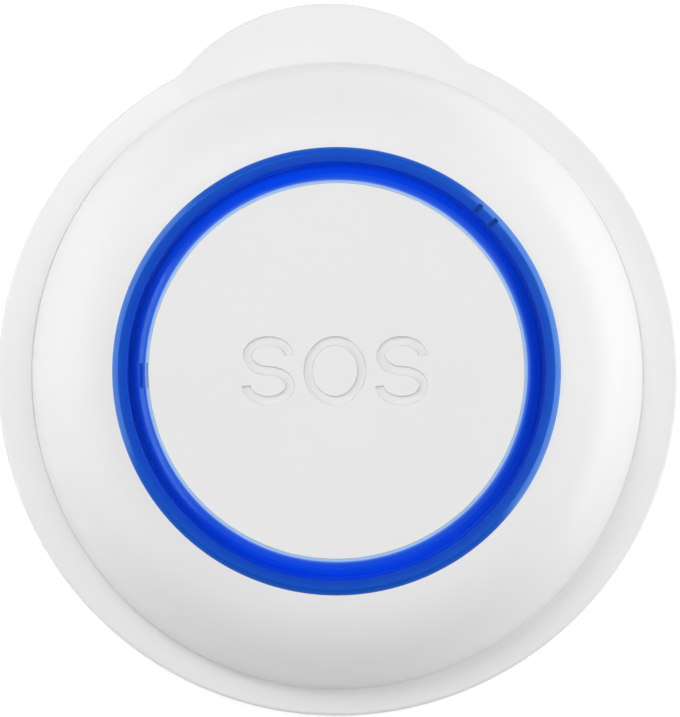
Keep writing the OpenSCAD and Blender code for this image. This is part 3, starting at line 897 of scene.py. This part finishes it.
def lens_tint_and_painted_light(material, place):
    """The ring's tint by radius with its painted highlights and shade, and painted light that brightens the
    groove towards its upper and lower end.
    """
    flat = vector(material, "MULTIPLY", place, (1, 1, 0))["Vector"]
    reach = vector(material, "LENGTH", flat)["Value"]
    heading = vector(material, "NORMALIZE", flat)["Vector"]
    split = material.node_tree.nodes.new("ShaderNodeSeparateXYZ")
    feed(material, split.inputs["Vector"], heading)
    # Painted light: brighter towards the ring's upper and lower end, by the square of the heading along Y
    ends = number(material, "MULTIPLY", split.outputs["Y"], split.outputs["Y"])
    shares = [(radius, (share, share, share)) for radius, share in LENS_PAINTED_END_LIGHT_SHARES]
    painted_light = number(material, "MULTIPLY", ends, ramp_by_radius(material, reach, shares))
    return mix_colours(material, painted_light, ramp_by_radius(material, reach, LENS_TINTS_AND_PAINTED_LIGHT), (*LENS_PAINTED_END_LIGHT, 1))


def blue_lens():
    """Clear blue plastic with a polished face, whose tint by radius carries painted highlights, painted
    shade and painted light.
    """
    material, shader, place = new_material("blue_ring")
    patches = noise(material, place, LENS_MOTTLE_PATCH)
    tint = mix_colours(material, patches, lens_tint_and_painted_light(material, place), (*LENS_MOTTLE, 1), "MULTIPLY")
    feed(material, shader.inputs["Base Color"], tint)
    vary_roughness(material, shader, noise(material, place, LENS_GLOSS_PATCH), LENS_ROUGHNESS)
    add_bump(material, shader, noise(material, place, LENS_WAVE), LENS_RELIEF)
    shader.inputs["IOR"].default_value = LENS_IOR
    shader.inputs["Specular Tint"].default_value = (*LENS_SHINE, 1)
    return material


materials = {slot: finish_of(slot, *look) for slot, look in FINISHES.items()}
materials["blue_ring"] = blue_lens()

# Each made piece with its body, material slot and the node that it stands for
PIECES = (
    (make_base, "housing", "white_shell", "rear_base"),
    (make_dome, "housing", "white_shell", "front_dome"),
    (make_ring, "housing", "blue_ring", "light_ring"),
    (make_cap, "button", "white_button", "button_cap"),
    (make_door, "door", "white_shell", "battery_door"),
    (make_screws, "housing", "screw_steel", "housing_screws"),
    (make_snap, "housing", "screw_steel", "switch_snap_dome"),
)
replaced = []
for make, body, slot, node in PIECES:
    piece = make()
    piece.data.materials.clear()
    piece.data.materials.append(materials[slot])
    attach(piece, body)
    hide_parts(node)
    replaced.append(node)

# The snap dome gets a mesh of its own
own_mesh(bpy.data.objects["switch_snap_disc"])

# The inner pieces keep their solids and get the finish of their slot
for node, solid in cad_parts.items():
    if node not in replaced:
        for holder in solid.material_slots:
            holder.material = materials[holder.material.name]

# Floor: its glow is only seen, and lights nothing
FLOOR_HALF = 1500
FLOOR_WHITE = 0.8
FLOOR_ROUGHNESS = 0.9
FLOOR_GLOW = 0.5

# Lamps: name, azimuth, elevation, distance, width, height and the share of full light that each gives
LAMPS = (
    ("right_softbox", 5, 10, 600, 1200, 200, 0.88),
    ("left_softbox", 182, 38, 600, 750, 130, 0.26),
    ("left_panel", 162, 11, 600, 800, 200, 0.38),
    ("key_softbox", 120, 60, 700, 250, 250, 0.25),
    ("high_panel", 0, 68, 700, 450, 350, 0.23),
    ("top_panel", 60, 48, 600, 600, 450, 0.1),
    ("lower_panel", 270, 48, 600, 900, 700, 0.165),
    ("ceiling_panel", 90, 89.9, 900, 2000, 2000, 0.4),
)
WORLD_LIGHT = 0.01


def floor_white():
    """Matt white that the camera, reflections and clear pieces see brighter than it is lit."""
    material, shader, _ = new_material("floor_white")
    shader.inputs["Base Color"].default_value = (FLOOR_WHITE, FLOOR_WHITE, FLOOR_WHITE, 1)
    shader.inputs["Roughness"].default_value = FLOOR_ROUGHNESS
    shader.inputs["Specular IOR Level"].default_value = 0
    shader.inputs["Emission Color"].default_value = (1, 1, 1, 1)
    rays = material.node_tree.nodes.new("ShaderNodeLightPath").outputs
    seen = number(material, "ADD", rays["Is Camera Ray"], rays["Is Glossy Ray"], clamped=True)
    seen = number(material, "ADD", seen, rays["Is Transmission Ray"], clamped=True)
    feed(material, shader.inputs["Emission Strength"], number(material, "MULTIPLY", seen, FLOOR_GLOW))
    return material


def make_floor():
    """A wide plain floor under the part."""
    bm = bmesh.new()
    corners = [(x * FLOOR_HALF, y * FLOOR_HALF, 0) for x, y in ((-1, -1), (1, -1), (1, 1), (-1, 1))]
    bm.faces.new([bm.verts.new(c) for c in corners])
    floor = add_object("floor", bm)
    floor.data.materials.append(floor_white())


def make_lights():
    """The lamps, each turned towards the part."""
    for name, azimuth, elevation, distance, width, height, level in LAMPS:
        lamp = bpy.data.lights.new(name, "AREA")
        lamp.shape = "RECTANGLE"
        lamp.size = width * MM
        lamp.size_y = height * MM
        lamp.energy = level * (math.pi * distance * MM) ** 2
        holder = bpy.data.objects.new(name, lamp)
        bpy.context.scene.collection.objects.link(holder)
        flat = distance * math.cos(math.radians(elevation))
        away = Vector((*polar(flat, azimuth), distance * math.sin(math.radians(elevation)))) * MM
        holder.location = away
        holder.rotation_euler = away.to_track_quat("Z", "Y").to_euler()


def make_world():
    """A faint even light from all sides."""
    world = bpy.data.worlds.new("studio")
    bpy.context.scene.world = world
    world.use_nodes = True
    background = next(n for n in world.node_tree.nodes if n.type == "BACKGROUND")
    background.inputs["Color"].default_value = (1, 1, 1, 1)
    background.inputs["Strength"].default_value = WORLD_LIGHT


def make_camera():
    """A camera whose frame holds the part where the photograph has it."""
    roll = math.radians(CAMERA_ROLL)
    right = Vector((math.cos(roll), -math.sin(roll), 0))
    up = Vector((math.sin(roll), math.cos(roll), 0))
    shift_x = (PHOTO_SIZE[0] / 2 - FLANGE_CENTRE_PX[0]) / FLANGE_PX_PER_MM
    shift_y = (FLANGE_CENTRE_PX[1] - PHOTO_SIZE[1] / 2) / FLANGE_PX_PER_MM
    target = right * shift_x + up * shift_y + Vector((0, 0, FLANGE_VIEW_Z))
    lean = right * math.tan(math.radians(CAMERA_LEAN_X)) - up * math.tan(math.radians(CAMERA_LEAN_Y))
    away = (lean + Vector((0, 0, 1))).normalized()
    across = up.cross(away).normalized()
    camera = bpy.data.cameras.new("camera")
    camera.sensor_fit = "VERTICAL"
    camera.sensor_height = SENSOR_H
    camera.lens = SENSOR_H * FLANGE_PX_PER_MM * CAMERA_DISTANCE / PHOTO_SIZE[1]
    camera.clip_start = CAMERA_NEAR * MM
    holder = bpy.data.objects.new("camera", camera)
    bpy.context.scene.collection.objects.link(holder)
    turn = Matrix((across, away.cross(across), away)).transposed()
    holder.matrix_world = Matrix.Translation((target + away * CAMERA_DISTANCE) * MM) @ turn.to_4x4()
    bpy.context.scene.camera = holder


make_floor()
make_lights()
make_world()
make_camera()
bpy.context.scene.view_settings.view_transform = "Standard"
